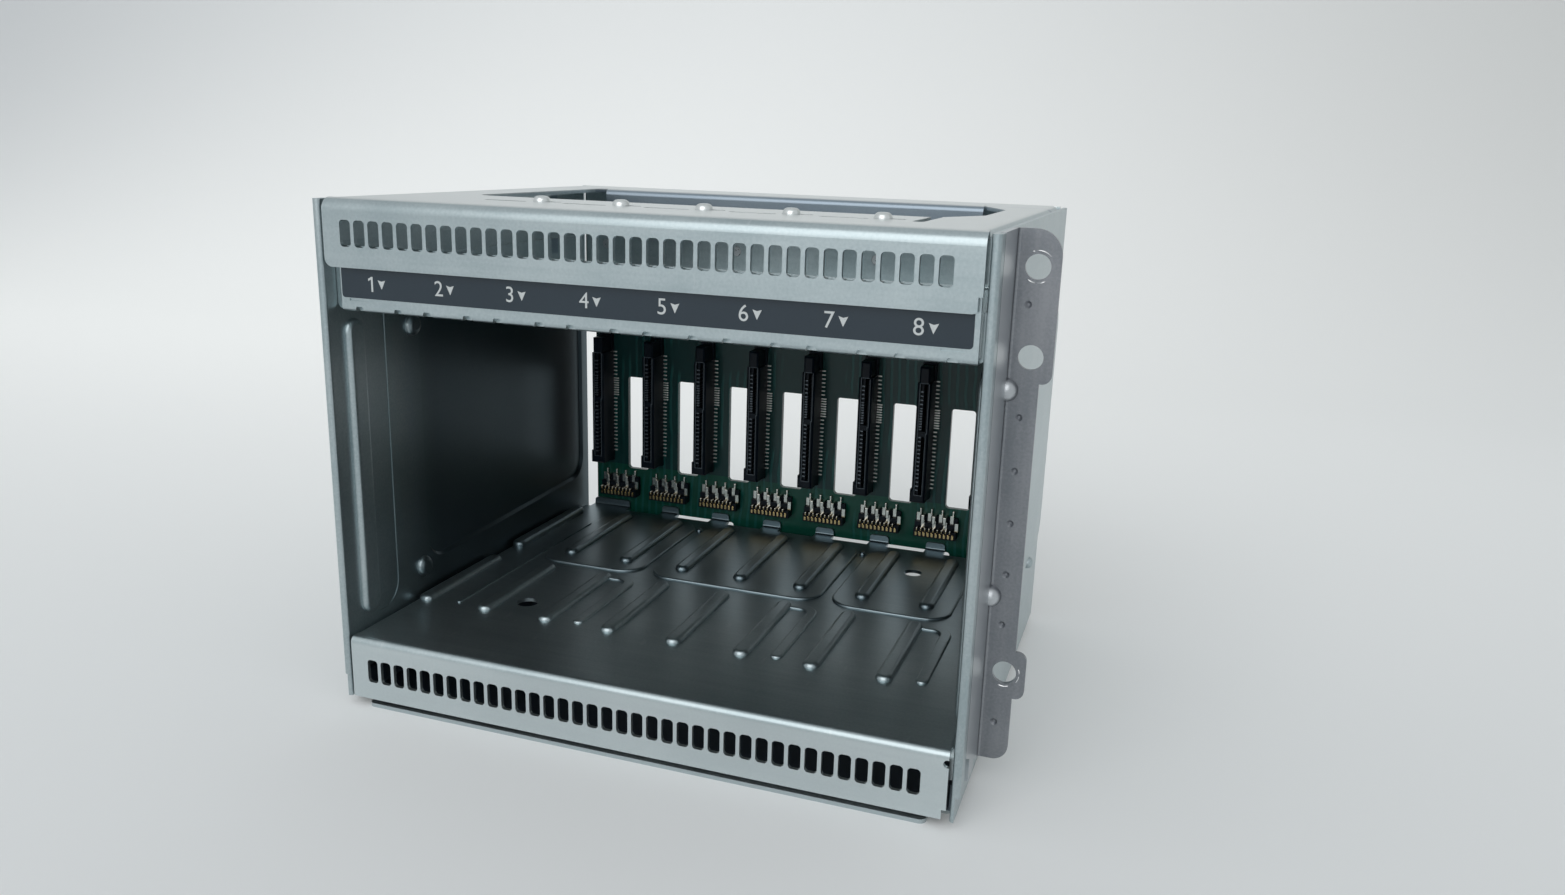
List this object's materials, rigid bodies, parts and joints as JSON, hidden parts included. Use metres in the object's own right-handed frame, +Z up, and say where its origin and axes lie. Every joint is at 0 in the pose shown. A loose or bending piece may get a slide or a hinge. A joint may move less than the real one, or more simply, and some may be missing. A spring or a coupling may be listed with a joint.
{
  "type": "sff drive cage",
  "caption": "Sheet-metal cage for upright small drives, open at the front, with vented flanges, a numbered strip, a side mounting ear and a backplane board with drive connectors.",
  "frame": {"origin": "under the middle of the bottom pan, on the plane that the cage stands on", "axes": "+X to the right seen from the open front, +Y from the open front towards the board, +Z up"},
  "size_m": [0.1646, 0.1386, 0.1259],
  "materials": {
    "sheet_steel": "zinc-plated sheet, satin, with a faint fine grain",
    "dark_steel": "darker zinc-plated sheet, semi-gloss",
    "screw_steel": "bright plated",
    "shell_metal": "bright plated",
    "label": "dark printed film, satin",
    "board": "green solder mask over copper traces",
    "black_plastic": "moulded, satin",
    "pale_plastic": "moulded, satin",
    "capacitor": "plain",
    "solder_metal": "tinned, bright"
  },
  "bodies": {
    "root": {"top_panel": "sheet_steel", "bottom_shelf": "sheet_steel", "upper_guide_deck": "sheet_steel", "left_side_wall": "sheet_steel", "right_side_wall": "sheet_steel", "bottom_pan": "sheet_steel", "mounting_ear": "dark_steel", "bay_number_label": "label", "backplane_board": "board", "board_screws": "screw_steel", "data_connector_1": "shell_metal", "data_connector_2": "shell_metal", "data_tongue_1": "black_plastic", "data_tongue_2": "black_plastic", "power_connector": "pale_plastic", "signal_header": "pale_plastic", "board_chips": "black_plastic", "board_capacitors": "capacitor", "drive_connector_1": "black_plastic", "connector_tails_1": "solder_metal", "contact_block_1": "black_plastic", "contact_fingers_1": "solder_metal", "drive_connector_2": "black_plastic", "connector_tails_2": "solder_metal", "contact_block_2": "black_plastic", "contact_fingers_2": "solder_metal", "drive_connector_3": "black_plastic", "connector_tails_3": "solder_metal", "contact_block_3": "black_plastic", "contact_fingers_3": "solder_metal", "drive_connector_4": "black_plastic", "connector_tails_4": "solder_metal", "contact_block_4": "black_plastic", "contact_fingers_4": "solder_metal", "drive_connector_5": "black_plastic", "connector_tails_5": "solder_metal", "contact_block_5": "black_plastic", "contact_fingers_5": "solder_metal", "drive_connector_6": "black_plastic", "connector_tails_6": "solder_metal", "contact_block_6": "black_plastic", "contact_fingers_6": "solder_metal", "drive_connector_7": "black_plastic", "connector_tails_7": "solder_metal", "contact_block_7": "black_plastic", "contact_fingers_7": "solder_metal", "drive_connector_8": "black_plastic", "connector_tails_8": "solder_metal", "contact_block_8": "black_plastic", "contact_fingers_8": "solder_metal"}
  },
  "joints": []
}
